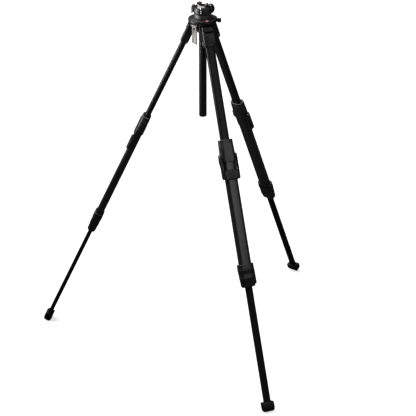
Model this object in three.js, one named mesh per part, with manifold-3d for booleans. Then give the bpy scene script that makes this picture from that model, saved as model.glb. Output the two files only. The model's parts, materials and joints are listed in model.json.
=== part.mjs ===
// A three-leg camera tripod with a compact quick-release head, in millimetres, +Z up.
// Each leg has three sections of flat oval tube. The middle section is the widest one: the
// upper section slides into it from above and the lower section from below.
// The origin is on the floor, in the middle of the box around the whole tripod.

import * as THREE from 'three';
import { mergeVertices } from 'three/addons/utils/BufferGeometryUtils.js';
import Module from 'manifold-3d';

const wasm = await Module();
wasm.setup();

// ---------------------------------------------------------------- driving dimensions

const APEX_HEIGHT = 1400; // where the three leg axes meet the column axis
const SPREAD = THREE.MathUtils.degToRad(25); // between a leg and the column
const LEGS = [
  { name: 'front', azimuth: -90 },
  { name: 'left', azimuth: 150 },
  { name: 'right', azimuth: 30 },
];
const GAP = 0.3; // left between pieces that touch

// Flat oval tubes: width is across the leg, depth points away from the column.
const UPPER_TUBE = { width: 35, depth: 22, wall: 1.6, start: 140, end: 640 };
const MIDDLE_TUBE = { width: 48, depth: 29, wall: 2, start: 522, end: 1000 };
const LOWER_TUBE = { width: 28, depth: 16, wall: 1.5, start: 960, end: 1520 };
const CORNER = 0.42; // corner radius of a tube, as a part of its depth

const HINGE_RADIUS = 42; // from the column axis to a leg's hinge
const HINGE_AT = HINGE_RADIUS / Math.sin(SPREAD); // along the leg from the apex
const HINGE_HEIGHT = APEX_HEIGHT - HINGE_RADIUS / Math.tan(SPREAD);
const HINGE_BOLT = { radius: 4, head: 7.5, headHeight: 2.6, sunk: 0.4, pocket: 3.4 };
const CASTING = { width: 46, depth: 31, end: 165, corner: 7, toeRise: 10, toeInset: 6 };
const FORK_SLOT = { width: 20.6, depth: 15 };
const LUG = { width: 20, radius: 13.5, start: 18.8, neck: 31, shoulder: 29 };
const SELECTOR = { width: 31, start: 90, end: 108, inner: 9, outer: 17.5, travel: 5, corner: 4 };
const CLAMP_SCREW = { at: 150, radius: 3, length: 4, head: 7.2, headHeight: 3 };
const CLAMP_SOCKET = { radius: 2.8, depth: 2 }; // six-sided, for a key

const UPPER_COLLAR = { start: 511, end: 596, width: 60, depth: 37, forward: 1, lip: 10 };
const UPPER_COLLAR_TAPER = 0.92; // size at the top as a part of the size at the lever's pivot
const COLLAR_CORNER = 0.44; // corner radius of a collar, as a part of its depth
const CHEEK = { inner: 24.4, end: 642, front: 4 }; // the collar's sides run on beside the tube
const LEVER = { pivotAt: 575, pivotOut: 2, reach: 35, arm: 3.5, bar: 625, end: 663, outer: 20.5 };
const LEVER_CORNERS = { bar: 10, across: 13, eye: 10 };
const LEVER_AXLE = { radius: 3, inner: 26, hole: 25.4, boss: 9 };
const RIVET = { at: 620, out: 6, radius: 2.6, head: 4.2, headHeight: 1.3 };

const LOWER_COLLAR = { start: 981, end: 1068, width: 63, depth: 37, straight: 23 };
const LOWER_COLLAR_TAPER = 0.87; // size at the bottom as a part of the size at the top
const GUIDE = { width: 43.4, depth: 25.4, start: 1002, end: 1063.5 };
const SIDE_LEVER = { pivotAt: 1004, pivotOut: 28.8, end: 1060, halfWidth: 7.9, outer: 32.8, eye: 2.9 };
const SIDE_AXLE = { radius: 2.2, half: 10.5 };
const SIDE_ROOM = { inner: 25.5, above: 4.5, below: 2 }; // the recess that the side lever lies in

const FOOT = { halfDepth: 15.5, halfWidth: 21.5, sole: 20, ledge: 1506.5, corner: 8, bevel: 5 };
const FOOT_REST = Math.hypot(FOOT.halfDepth * Math.sin(SPREAD), FOOT.sole * Math.cos(SPREAD));
const FOOT_AT = (APEX_HEIGHT - FOOT_REST) / Math.cos(SPREAD);

const DISC = { radius: 54.5, bottom: 1331, top: 1343, recess: 50.5, recessDepth: 3 };
const HUB = { radius: 22, bottom: 1292, bore: 17.8 };
const BUSH_FLANGE = { radius: 21, height: 4 };
const COLUMN = { radius: 14.6, wall: 2.2, bottom: 952, top: 1350 };
const END_CAP = { height: 5, bevel: 2.4, face: 10, plug: 14 };
const LEVEL = { radius: 6.5, inner: 4.8, out: 42, height: 1345, bevel: 0.8 };
const KNOB = { azimuth: -30, height: 1336.5, radius: 9, start: 55, end: 68.5 };
const FLUTES = { count: 8, depth: 1.2 };
const KNOB_SHAFT = { radius: 3, start: 46 };
const FLAP = { azimuth: 210, out: 50, pivot: 1324.5, bottom: 1256, slant: 2, width: 20, thickness: 5 };
const FLAP_EYE = { radius: 3.9, below: 11.5 };
const FLAP_PIN = { radius: 1.9, barrel: 4.8, ear: 5, earWidth: 3, earGap: 0.5 };

const HEAD_TURN = THREE.MathUtils.degToRad(-22);
const NECK = { radius: 32, bottom: DISC.top + GAP, top: 1361.7 };
const DRUM = { radius: 34, bottom: 1362.4, top: 1387, bevel: 1.5 };
const GRIP = { inner: 34.5, outer: 37.5, bottom: 1366, top: 1384, from: -15, to: 175 };
const LOBE_CAP = { inner: 27, bottom: 1387.6 }; // above the drum the lobes reach further in
const LOBE_BULGE = 0.8; // 1 makes a lobe an ellipsoid, and less makes it squarer
const LOBES = [ // round the head from its right
  { degrees: -3, out: 26.8, radius: 18, bottom: 1361, top: 1398.5 },
  { degrees: 106, out: 35.5, radius: 8.6, bottom: 1363, top: 1386 },
  { degrees: 168, out: 34.5, radius: 9, bottom: 1363, top: 1394 },
];
const SEAT = { x: -6.5, y: 8, width: 12, depth: 14, corner: 3, height: 0.9 }; // for the camera plate
const CATCH = { side: -6, out: 31, radius: 2.4, bottom: 1368.5, top: 1382.5 };
const CATCH_WINDOW = { halfWidth: 5, floor: 26, below: 3, above: 2 };
const JAW_BEVEL = { height: 0.6, inset: 0.8 };
const FIXED_JAW = {
  height: 5,
  outline: [
    [-21, 8], [-16, -11], [-20.5, -24], [-11, -28.5], [-7, -32.5], [-3, -28], [7, -26], [6, -13],
    [-4, -12], [-12, -4], [-17, 10],
  ],
};
const MOVING_JAW = {
  height: 11,
  outline: [[8, 1], [13, -2], [17, 4], [21, 8], [20, 11], [12, 14], [8, 9]],
};
const PLATE_STOP = {
  height: 10,
  outline: [[-22, 19], [-4, 17.5], [-3, 24], [-10, 30], [-19.5, 26]],
};

const PAST = 5; // how far a cutter runs on past the face it opens
const BEYOND = 60; // farther from a leg's axis than any of its pieces

// ---------------------------------------------------------------- shapes and helpers

const finish = (color, roughness, metalness) =>
  new THREE.MeshStandardMaterial({ color, roughness, metalness });

const MATERIALS = {
  tube: finish(0x1d1c1b, 0.38, 0.6),
  casting: finish(0x34353a, 0.6, 0.4),
  plastic: finish(0x2b2c30, 0.55, 0),
  rubber: finish(0x141414, 0.85, 0),
  steel: finish(0xc9c7c2, 0.3, 1),
  silver: finish(0xa9a8a4, 0.4, 0.8),
  flap: finish(0xb4afaa, 0.5, 0.2),
  red: finish(0xb3262e, 0.35, 0),
  vial: finish(0xe8efe0, 0.1, 0),
  knob: finish(0x202124, 0.6, 0),
};

function toSolid(geometry) {
  const bare = geometry.clone();
  bare.deleteAttribute('normal');
  bare.deleteAttribute('uv');
  const merged = mergeVertices(bare, 1e-4);
  const vertProperties = new Float32Array(merged.attributes.position.array);
  const triVerts = new Uint32Array(merged.index.array);
  return new wasm.Manifold(new wasm.Mesh({ numProp: 3, vertProperties, triVerts }));
}

function toGeometry(solid) {
  const mesh = solid.getMesh();
  const geometry = new THREE.BufferGeometry();
  geometry.setAttribute('position', new THREE.BufferAttribute(mesh.vertProperties, 3));
  geometry.setIndex(new THREE.BufferAttribute(mesh.triVerts, 1));
  geometry.computeVertexNormals();
  return geometry;
}

const join = (...pieces) => toGeometry(pieces.map(toSolid).reduce((a, b) => a.add(b)));
const cut = (body, ...tools) =>
  toGeometry(tools.map(toSolid).reduce((a, b) => a.subtract(b), toSolid(body)));
const common = (a, b) => toGeometry(toSolid(a).intersect(toSolid(b)));

// A rectangle with round corners. On a leg, x is its depth and y its width.
function roundedRect(x, y, radius) {
  const right = x / 2 - radius;
  const top = y / 2 - radius;
  const shape = new THREE.Shape();
  shape.moveTo(-right, -y / 2);
  shape.lineTo(right, -y / 2);
  shape.absarc(right, -top, radius, -Math.PI / 2, 0);
  shape.lineTo(x / 2, top);
  shape.absarc(right, top, radius, 0, Math.PI / 2);
  shape.lineTo(-right, y / 2);
  shape.absarc(-right, top, radius, Math.PI / 2, Math.PI);
  shape.lineTo(-x / 2, -top);
  shape.absarc(-right, -top, radius, Math.PI, Math.PI * 1.5);
  return shape;
}

const oval = (width, depth) => roundedRect(depth, width, depth * CORNER);

// Extrudes a shape in the XY plane from one height to another.
function upright(shape, bottom, top, curveSegments = 2, steps = 1) {
  const options = { depth: top - bottom, bevelEnabled: false, curveSegments, steps };
  return new THREE.ExtrudeGeometry(shape, options).translate(0, 0, bottom);
}

// On a leg, z runs up the leg to the apex, so a distance along the leg is -z.
const alongLeg = (shape, start, end, segments, steps) =>
  upright(shape, -end, -start, segments, steps);

// Extrudes a shape drawn in the XZ plane across Y, from -width / 2 to width / 2.
const acrossLeg = (shape, width, segments) =>
  upright(shape, -width / 2, width / 2, segments).rotateX(Math.PI / 2);

// Extrudes a shape drawn in the YZ plane along X, from -depth / 2 to depth / 2.
const throughLeg = (shape, depth, segments) =>
  upright(shape, -depth / 2, depth / 2, segments).rotateX(Math.PI / 2).rotateZ(Math.PI / 2);

const block = (x0, x1, y0, y1, z0, z1) =>
  new THREE.BoxGeometry(x1 - x0, y1 - y0, z1 - z0)
    .translate((x0 + x1) / 2, (y0 + y1) / 2, (z0 + z1) / 2);

const rodAcross = (radius, from, to, x, z, sides = 10) =>
  new THREE.CylinderGeometry(radius, radius, to - from, sides).translate(x, (from + to) / 2, z);

const rodAlongX = (radius, from, to, y, z, sides = 10) =>
  new THREE.CylinderGeometry(radius, radius, to - from, sides)
    .rotateZ(Math.PI / 2)
    .translate((from + to) / 2, y, z);

const rodUp = (radius, bottom, top, x = 0, y = 0, sides = 20) =>
  new THREE.CylinderGeometry(radius, radius, top - bottom, sides)
    .rotateX(Math.PI / 2)
    .translate(x, y, (bottom + top) / 2);

// Turns a profile of [radius, height] points about the Z axis.
function turned(points, segments = 24) {
  const profile = points.map(([radius, height]) => new THREE.Vector2(radius, height));
  return new THREE.LatheGeometry(profile, segments).rotateX(Math.PI / 2);
}

// Scales each cross-section of an upright solid by a factor that depends on its height.
function tapered(geometry, factorAt) {
  const position = geometry.attributes.position;
  for (let i = 0; i < position.count; i += 1) {
    const factor = factorAt(position.getZ(i));
    position.setX(i, position.getX(i) * factor);
    position.setY(i, position.getY(i) * factor);
  }
  return geometry;
}

// Makes one piece on each side of the leg, from one distance across it to another.
const bothSides = (inner, outer, make) => [make(-outer, -inner), make(inner, outer)];

function add(parent, name, geometry, material) {
  const mesh = new THREE.Mesh(geometry, material);
  mesh.name = name;
  parent.add(mesh);
}

// ---------------------------------------------------------------- legs

function tubeGeometry({ width, depth, wall, start, end }) {
  const shape = oval(width, depth);
  const inner = roundedRect(depth - 2 * wall, width - 2 * wall, depth * CORNER - wall);
  shape.holes.push(new THREE.Path(inner.getPoints(2)));
  return alongLeg(shape, start, end);
}

// The space that a tube takes, with the gap round it.
const tubeSpace = ({ width, depth }, start, end) =>
  alongLeg(oval(width + 2 * GAP, depth + 2 * GAP), start, end);

// The casting at the top of a leg: a fork for the hinge above, a socket for the tube below.
function castingGeometry() {
  const { width, depth, end, corner, toeRise, toeInset } = CASTING;
  const half = depth / 2;
  const face = width / 2;
  const above = half + PAST - HINGE_AT;
  const side = new THREE.Shape();
  side.moveTo(-half, toeRise - end);
  side.quadraticCurveTo(-half, -end, toeInset - half, -end);
  side.lineTo(half - toeInset, -end);
  side.quadraticCurveTo(half, -end, half, toeRise - end);
  side.lineTo(half, -HINGE_AT);
  side.absarc(0, -HINGE_AT, half, 0, Math.PI);
  const outline = upright(roundedRect(depth, width, corner), -end - PAST, above);
  const body = common(acrossLeg(side, width + PAST, 4), outline);
  const slot = FORK_SLOT.width / 2;
  const wing = SELECTOR.width / 2 + GAP;
  const selectorRoom = SELECTOR.end + SELECTOR.travel + 1;
  const tools = [
    block(-BEYOND, BEYOND, -slot, slot, -HINGE_AT - FORK_SLOT.depth, above),
    block(SELECTOR.inner - GAP, BEYOND, -wing, wing, -selectorRoom, above),
    tubeSpace(UPPER_TUBE, UPPER_TUBE.start - GAP, end + PAST),
    rodAcross(HINGE_BOLT.radius + GAP, -BEYOND, BEYOND, 0, -HINGE_AT),
    rodAcross(CLAMP_SCREW.radius + GAP, -BEYOND, CLAMP_SCREW.length + GAP - face, 0, -CLAMP_SCREW.at),
  ];
  const pocket = face - HINGE_BOLT.pocket;
  for (const [from, to] of [[-BEYOND, -pocket], [pocket, BEYOND]]) {
    tools.push(rodAcross(HINGE_BOLT.head + GAP, from, to, 0, -HINGE_AT, 12));
  }
  return cut(body, ...tools);
}

function hingeBoltGeometry() {
  const { radius, head, headHeight, sunk } = HINGE_BOLT;
  const outer = CASTING.width / 2 - sunk;
  const inner = outer - headHeight;
  const pin = rodAcross(radius, -inner - 1, inner + 1, 0, -HINGE_AT);
  const ends = [[-outer, -inner], [inner, outer]].map(([from, to]) =>
    rodAcross(head, from, to, 0, -HINGE_AT, 12));
  return join(pin, ...ends);
}

// The block that is slid down the casting to let the leg spread wider.
function selectorGeometry() {
  const { start, end, inner, outer, width, corner, travel } = SELECTOR;
  const side = new THREE.Shape();
  side.moveTo(inner, -end);
  side.lineTo(outer - 1, -end);
  side.lineTo(outer, 1 - end);
  side.lineTo(outer, -start - corner);
  side.quadraticCurveTo(outer, -start, outer - corner, -start);
  side.lineTo(inner, -start);
  const room = LUG.width / 2 + 2 * GAP;
  const lugRoom = rodAcross(LUG.radius + 2 * GAP, -room, room, 0, -HINGE_AT, 24);
  const lugFall = lugRoom.clone().translate(0, 0, travel);
  return cut(acrossLeg(side, width), lugRoom, lugFall);
}

// The screw in one side of the casting that clamps the upper tube in its socket.
function clampScrewGeometry() {
  const { at, radius, length, head, headHeight } = CLAMP_SCREW;
  const face = -CASTING.width / 2;
  const outer = face - GAP - headHeight;
  const shank = rodAcross(radius, face - 1, face + length, 0, -at);
  const cap = rodAcross(head, outer, face - GAP, 0, -at);
  const socket = rodAcross(CLAMP_SOCKET.radius, outer - PAST, outer + CLAMP_SOCKET.depth, 0, -at, 6);
  return cut(join(shank, cap), socket);
}

function upperCollarGeometry() {
  const { start, end, width, depth, forward, lip } = UPPER_COLLAR;
  const { pivotAt, pivotOut, reach, arm } = LEVER;
  const outline = roundedRect(depth, width, depth * COLLAR_CORNER);
  const slope = (1 - UPPER_COLLAR_TAPER) / (pivotAt - start);
  const body = tapered(
    alongLeg(outline, start, end, 3, 4),
    (z) => Math.min(1, UPPER_COLLAR_TAPER + slope * (-z - start)),
  ).translate(forward, 0, 0);
  const skirt = alongLeg(outline, end - PAST, CHEEK.end, 3).translate(forward, 0, 0);
  const cheeks = bothSides(CHEEK.inner, BEYOND, (from, to) =>
    common(skirt, block(-BEYOND, CHEEK.front, from, to, -CHEEK.end - PAST, -end + BEYOND)));
  const bossEnd = reach - arm - 0.5;
  const boss = rodAcross(LEVER_AXLE.boss, -bossEnd, bossEnd, pivotOut, -pivotAt, 12);
  const pinHoles = bothSides(LEVER_AXLE.hole, BEYOND, (from, to) =>
    rodAcross(LEVER_AXLE.radius + GAP, from, to, pivotOut, -pivotAt));
  return cut(
    join(body, boss, ...cheeks),
    tubeSpace(UPPER_TUBE, start - PAST, start + lip + 1),
    tubeSpace(MIDDLE_TUBE, start + lip, CHEEK.end + PAST),
    ...pinHoles,
  );
}

// The U-shaped release lever: an arm down each side of the collar and a bar across the front.
function upperLeverGeometry() {
  const { pivotAt, pivotOut, reach, arm, bar, end, outer } = LEVER;
  const top = -pivotAt + BEYOND;
  const side = new THREE.Shape();
  side.moveTo(4, -end);
  side.lineTo(outer - 4, -end);
  side.quadraticCurveTo(outer, 2 - end, outer, 9 - end);
  side.lineTo(outer, -bar - 5);
  side.quadraticCurveTo(outer, -bar, outer - 6, 3 - bar);
  side.lineTo(pivotOut + LEVER_CORNERS.eye, -pivotAt - 8);
  side.absarc(pivotOut, -pivotAt, LEVER_CORNERS.eye, 0, Math.PI);
  side.lineTo(-6, -pivotAt - 30);
  const across = roundedRect(2 * outer, 2 * reach, LEVER_CORNERS.across);
  const corner = LEVER_CORNERS.bar;
  const front = new THREE.Shape();
  front.moveTo(reach, top);
  front.lineTo(-reach, top);
  front.absarc(corner - reach, corner - end, corner, Math.PI, Math.PI * 1.5);
  front.absarc(reach - corner, corner - end, corner, Math.PI * 1.5, Math.PI * 2);
  const body = [
    acrossLeg(side, 2 * reach + PAST),
    upright(across, -end - PAST, top, 3),
    throughLeg(front, 2 * BEYOND, 3),
  ].reduce(common);
  const inside = reach - arm;
  const clear = MIDDLE_TUBE.depth / 2 + 2 * GAP;
  const frame = cut(
    body,
    block(-BEYOND, clear, -inside, inside, -end - PAST, top),
    block(-BEYOND, BEYOND, -inside, inside, -bar, top),
    rodAcross(RIVET.radius + GAP, inside - 1, BEYOND, RIVET.out, -RIVET.at),
  );
  const axles = bothSides(LEVER_AXLE.inner, reach + 0.8, (from, to) =>
    rodAcross(LEVER_AXLE.radius, from, to, pivotOut, -pivotAt));
  return join(frame, ...axles);
}

// The bright rivet in one arm of the release lever.
function leverRivetGeometry() {
  const { at, out, radius, head, headHeight } = RIVET;
  const face = LEVER.reach + GAP;
  const shank = rodAcross(radius, face - LEVER.arm, face + headHeight / 2, out, -at, 12);
  return join(shank, rodAcross(head, face, face + headHeight, out, -at));
}

function lowerCollarGeometry() {
  const { start, end, width, depth, straight } = LOWER_COLLAR;
  const { pivotAt, pivotOut, halfWidth } = SIDE_LEVER;
  const shoulder = start + straight;
  const rim = roundedRect(depth, width, depth * COLLAR_CORNER);
  const body = tapered(
    alongLeg(rim, start, end, 3, 4),
    (z) => 1 - (1 - LOWER_COLLAR_TAPER) * Math.max(0, (-z - shoulder) / (end - shoulder)),
  );
  const room = halfWidth + GAP;
  const roomEnd = -SIDE_LEVER.end - SIDE_ROOM.below;
  const axleRoom = SIDE_AXLE.half + GAP;
  return cut(
    body,
    tubeSpace(MIDDLE_TUBE, start - PAST, MIDDLE_TUBE.end + 1),
    tubeSpace(GUIDE, MIDDLE_TUBE.end, GUIDE.end + GAP),
    tubeSpace(LOWER_TUBE, GUIDE.end, end + PAST),
    block(-room, room, SIDE_ROOM.inner, BEYOND, roomEnd, SIDE_ROOM.above - pivotAt),
    rodAlongX(SIDE_AXLE.radius + GAP, -axleRoom, axleRoom, pivotOut, -pivotAt, 12),
  );
}

// A flap in the side of the lower collar, with a stub axle at each side of its top end.
function sideLeverGeometry() {
  const { pivotAt, pivotOut, end, halfWidth, outer, eye } = SIDE_LEVER;
  const side = new THREE.Shape();
  side.moveTo(pivotOut - eye, -pivotAt);
  side.lineTo(pivotOut - eye, -end);
  side.lineTo(outer - 2, -end);
  side.lineTo(outer, 3 - end);
  side.lineTo(outer, 14 - end);
  side.lineTo(pivotOut + eye, -pivotAt);
  side.absarc(pivotOut, -pivotAt, eye, 0, Math.PI);
  const axle = rodAlongX(SIDE_AXLE.radius, -SIDE_AXLE.half, SIDE_AXLE.half, pivotOut, -pivotAt, 12);
  return join(throughLeg(side, 2 * halfWidth), axle);
}

function guideGeometry() {
  const body = alongLeg(oval(GUIDE.width, GUIDE.depth), GUIDE.start, GUIDE.end);
  return cut(body, tubeSpace(LOWER_TUBE, GUIDE.start - PAST, GUIDE.end + PAST));
}

// A rubber shoe over the end of the lower tube, with a sole that is round from front to back.
function footGeometry() {
  const { halfDepth, halfWidth, sole, ledge, corner, bevel } = FOOT;
  const side = new THREE.Shape();
  side.moveTo(halfDepth, -ledge - bevel);
  side.lineTo(halfDepth - bevel, -ledge);
  side.lineTo(-halfDepth, -ledge);
  side.absellipse(0, -FOOT_AT, halfDepth, sole, Math.PI, Math.PI * 2);
  const low = -FOOT_AT - sole;
  const front = new THREE.Shape();
  front.moveTo(halfWidth, 1 - ledge);
  front.lineTo(-halfWidth, 1 - ledge);
  front.absarc(corner - halfWidth, low + corner, corner, Math.PI, Math.PI * 1.5);
  front.absarc(halfWidth - corner, low + corner, corner, Math.PI * 1.5, Math.PI * 2);
  const body = common(
    acrossLeg(side, 2 * halfWidth + PAST, 10),
    throughLeg(front, 2 * halfDepth + PAST, 3),
  );
  return cut(body, tubeSpace(LOWER_TUBE, ledge - PAST, LOWER_TUBE.end + GAP));
}

function buildLeg({ name, azimuth }) {
  const turn = new THREE.Group();
  turn.rotation.z = THREE.MathUtils.degToRad(azimuth);
  const leg = new THREE.Group();
  leg.position.z = APEX_HEIGHT;
  leg.rotation.y = -SPREAD;
  turn.add(leg);
  const pieces = [
    ['leg_casting', castingGeometry(), MATERIALS.casting],
    ['hinge_bolt', hingeBoltGeometry(), MATERIALS.steel],
    ['angle_selector', selectorGeometry(), MATERIALS.plastic],
    ['clamp_screw', clampScrewGeometry(), MATERIALS.steel],
    ['upper_tube', tubeGeometry(UPPER_TUBE), MATERIALS.tube],
    ['upper_collar', upperCollarGeometry(), MATERIALS.casting],
    ['upper_lever', upperLeverGeometry(), MATERIALS.plastic],
    ['lever_rivet', leverRivetGeometry(), MATERIALS.steel],
    ['middle_tube', tubeGeometry(MIDDLE_TUBE), MATERIALS.tube],
    ['lower_collar', lowerCollarGeometry(), MATERIALS.plastic],
    ['tube_guide', guideGeometry(), MATERIALS.plastic],
    ['side_lever', sideLeverGeometry(), MATERIALS.plastic],
    ['lower_tube', tubeGeometry(LOWER_TUBE), MATERIALS.tube],
    ['foot', footGeometry(), MATERIALS.rubber],
  ];
  for (const [piece, geometry, material] of pieces) {
    add(leg, `${name}_${piece}`, geometry, material);
  }
  return turn;
}

// ---------------------------------------------------------------- spider and column

const turnedTo = (geometry, degrees) => geometry.rotateZ(THREE.MathUtils.degToRad(degrees));

// One lug that a leg's fork turns on, pointing along +X.
function lugGeometry() {
  const { width, radius, start, neck, shoulder } = LUG;
  const bottom = HINGE_HEIGHT - radius;
  const root = DISC.bottom + 1;
  const side = new THREE.Shape();
  side.moveTo(start, bottom);
  side.lineTo(HINGE_RADIUS, bottom);
  side.absarc(HINGE_RADIUS, HINGE_HEIGHT, radius, -Math.PI / 2, Math.PI / 2);
  side.lineTo(neck, HINGE_HEIGHT + radius);
  side.lineTo(shoulder, root);
  side.lineTo(start, root);
  const hole = rodAcross(HINGE_BOLT.radius + GAP, -BEYOND, BEYOND, HINGE_RADIUS, HINGE_HEIGHT);
  return cut(acrossLeg(side, width, 5), hole);
}

// Two ears under the disc that carry the flap's pin, for a flap on the +X side.
function flapEars() {
  const { out, pivot, width } = FLAP;
  const { radius, ear, earWidth, earGap } = FLAP_PIN;
  const root = DISC.bottom + 1;
  const middle = width / 2 + earGap + earWidth / 2;
  return [middle, -middle].map((y) => {
    const shape = new THREE.Shape();
    shape.moveTo(out - 8, root);
    shape.lineTo(out - ear, pivot - 3);
    shape.absarc(out, pivot, ear, Math.PI, Math.PI * 2);
    shape.lineTo(out + 4, root);
    const plate = acrossLeg(shape, earWidth).translate(0, y, 0);
    return cut(plate, rodAcross(radius + GAP, y - earWidth, y + earWidth, out, pivot));
  });
}

function spiderGeometry() {
  const { radius, bottom, top, recess, recessDepth } = DISC;
  const disc = turned([
    [0, bottom], [radius - 2, bottom], [radius, bottom + 2], [radius, top],
    [recess, top], [recess, top - recessDepth], [0, top - recessDepth],
  ], 36);
  const hub = rodUp(HUB.radius, HUB.bottom, bottom + 1);
  const lugs = LEGS.map(({ azimuth }) => turnedTo(lugGeometry(), azimuth));
  const ears = flapEars().map((ear) => turnedTo(ear, FLAP.azimuth));
  const shaftHole = rodAlongX(KNOB_SHAFT.radius + GAP, KNOB_SHAFT.start - 1, BEYOND, 0, KNOB.height);
  return cut(
    join(disc, hub, ...lugs, ...ears),
    rodUp(HUB.bore, HUB.bottom - PAST, top + PAST),
    turnedTo(shaftHole, KNOB.azimuth),
  );
}

// The ring set into the top of the disc, with a round pocket for the level.
function coverRingGeometry() {
  const low = DISC.top - DISC.recessDepth + GAP;
  const high = DISC.top - 0.2;
  const outer = DISC.recess - GAP;
  const inner = COLUMN.radius + GAP + 0.5;
  const ring = turned([[inner, low], [outer, low], [outer, high], [inner, high], [inner, low]], 30);
  const pocket = rodUp(LEVEL.radius + GAP, low - 1, high + PAST, LEVEL.out, 0, 14);
  return cut(ring, turnedTo(pocket, LEGS[0].azimuth));
}

// The round spirit level in the disc above the front leg: a ring, and the vial inside it.
function levelGeometries() {
  const { radius, inner, out, height, bevel } = LEVEL;
  const floor = DISC.top - DISC.recessDepth + GAP;
  const glass = inner - GAP;
  const ring = turned([
    [inner, floor], [radius, floor], [radius, height - bevel],
    [radius - bevel, height], [inner, height], [inner, floor],
  ], 14);
  const vial = turned([
    [0, floor], [glass, floor], [glass, height - 0.6], [glass * 0.6, height + 0.1], [0, height + 0.4],
  ], 12);
  return [ring, vial].map((part) => turnedTo(part.translate(out, 0, 0), LEGS[0].azimuth));
}

// The sleeve that the column slides in, with a flange under the hub.
function bushGeometry() {
  const outer = HUB.bore - GAP;
  const inner = COLUMN.radius + GAP;
  const top = DISC.top - DISC.recessDepth;
  const flangeBottom = HUB.bottom - BUSH_FLANGE.height;
  const flangeTop = HUB.bottom - GAP;
  return turned([
    [inner, flangeBottom], [BUSH_FLANGE.radius, flangeBottom], [BUSH_FLANGE.radius, flangeTop],
    [outer, flangeTop], [outer, top], [inner, top], [inner, flangeBottom],
  ], 20);
}

function columnGeometry() {
  const { radius, wall, bottom, top } = COLUMN;
  const inner = radius - wall;
  return turned([[inner, bottom], [radius, bottom], [radius, top], [inner, top], [inner, bottom]], 24);
}

function endCapGeometry() {
  const { height, bevel, face, plug } = END_CAP;
  const { radius, wall, bottom } = COLUMN;
  const inner = radius - wall - GAP;
  return turned([
    [0, bottom - height], [face, bottom - height], [radius - 0.8, bottom - bevel],
    [radius, bottom - GAP], [inner, bottom - GAP], [inner, bottom + plug], [0, bottom + plug],
  ], 20);
}

// A fluted knob on a shaft along +X.
function knobGeometry() {
  const { start, end, radius, height } = KNOB;
  const outline = new THREE.Shape();
  const points = 3 * FLUTES.count;
  for (let i = 0; i < points; i += 1) {
    const angle = (i / points) * Math.PI * 2;
    const reach = radius + (FLUTES.depth / 2) * (Math.cos(FLUTES.count * angle) - 1);
    outline.lineTo(reach * Math.cos(angle), reach * Math.sin(angle));
  }
  const knob = upright(outline, start, end).rotateY(Math.PI / 2);
  const shaft = rodAlongX(KNOB_SHAFT.radius, KNOB_SHAFT.start, start + 1, 0, 0);
  return join(knob, shaft).translate(0, 0, height);
}

// The pale plate that hangs from its barrel, for a flap on the +X side.
function flapGeometry() {
  const { out, pivot, bottom, slant, width, thickness } = FLAP;
  const half = width / 2;
  const outline = new THREE.Shape();
  outline.moveTo(-half, bottom + slant);
  outline.lineTo(half, bottom - slant);
  outline.lineTo(half, pivot);
  outline.lineTo(-half, pivot);
  const eye = new THREE.Path();
  eye.absarc(0, pivot - FLAP_EYE.below, FLAP_EYE.radius, 0, Math.PI * 2);
  outline.holes.push(eye);
  const plate = throughLeg(outline, thickness, 8).translate(out, 0, 0);
  const barrel = rodAcross(FLAP_PIN.barrel, -half, half, out, pivot, 14);
  return cut(join(plate, barrel), rodAcross(FLAP_PIN.radius + GAP, -BEYOND, BEYOND, out, pivot));
}

function flapPinGeometry() {
  const end = FLAP.width / 2 + FLAP_PIN.earGap + FLAP_PIN.earWidth + 0.7;
  return rodAcross(FLAP_PIN.radius, -end, end, FLAP.out, FLAP.pivot);
}

function buildCentre() {
  const centre = new THREE.Group();
  const [levelRing, levelVial] = levelGeometries();
  const pieces = [
    ['spider', spiderGeometry(), MATERIALS.casting],
    ['cover_ring', coverRingGeometry(), MATERIALS.casting],
    ['level_ring', levelRing, MATERIALS.red],
    ['level_vial', levelVial, MATERIALS.vial],
    ['column_bush', bushGeometry(), MATERIALS.plastic],
    ['centre_column', columnGeometry(), MATERIALS.tube],
    ['column_end_cap', endCapGeometry(), MATERIALS.rubber],
    ['lock_knob', turnedTo(knobGeometry(), KNOB.azimuth), MATERIALS.knob],
    ['column_lever', turnedTo(flapGeometry(), FLAP.azimuth), MATERIALS.flap],
    ['column_lever_pin', turnedTo(flapPinGeometry(), FLAP.azimuth), MATERIALS.steel],
  ];
  for (const [name, geometry, material] of pieces) {
    add(centre, name, geometry, material);
  }
  return centre;
}

// ---------------------------------------------------------------- head

function neckGeometry() {
  const { radius, bottom, top } = NECK;
  const socket = COLUMN.radius + GAP;
  const roof = COLUMN.top + GAP;
  return turned([
    [socket, bottom], [radius, bottom], [radius, top], [0, top], [0, roof], [socket, roof],
    [socket, bottom],
  ], 28);
}

function drumGeometry() {
  const { radius, bottom, top, bevel } = DRUM;
  const { halfWidth, floor, below, above } = CATCH_WINDOW;
  const body = turned([
    [0, bottom], [radius, bottom], [radius, top - bevel], [radius - bevel, top], [0, top],
  ], 32);
  const left = CATCH.side - halfWidth;
  const right = CATCH.side + halfWidth;
  const window = block(left, right, -BEYOND, -floor, CATCH.bottom - below, CATCH.top + above);
  const pad = upright(roundedRect(SEAT.width, SEAT.depth, SEAT.corner), top - 1, top + SEAT.height)
    .translate(SEAT.x, SEAT.y, 0);
  return join(cut(body, window), pad);
}

// A barrel that stands in the band round the drum.
function lobeGeometry({ degrees, out, radius, bottom, top }) {
  const middle = (bottom + top) / 2;
  const half = (top - bottom) / 2;
  const steps = 10;
  const profile = [];
  for (let i = 0; i <= steps; i += 1) {
    const angle = Math.PI * (i / steps);
    const reach = radius * Math.max(0, Math.sin(angle)) ** LOBE_BULGE;
    profile.push([reach, middle - half * Math.cos(angle)]);
  }
  return turnedTo(turned(profile, 18).translate(out, 0, 0), degrees);
}

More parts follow.
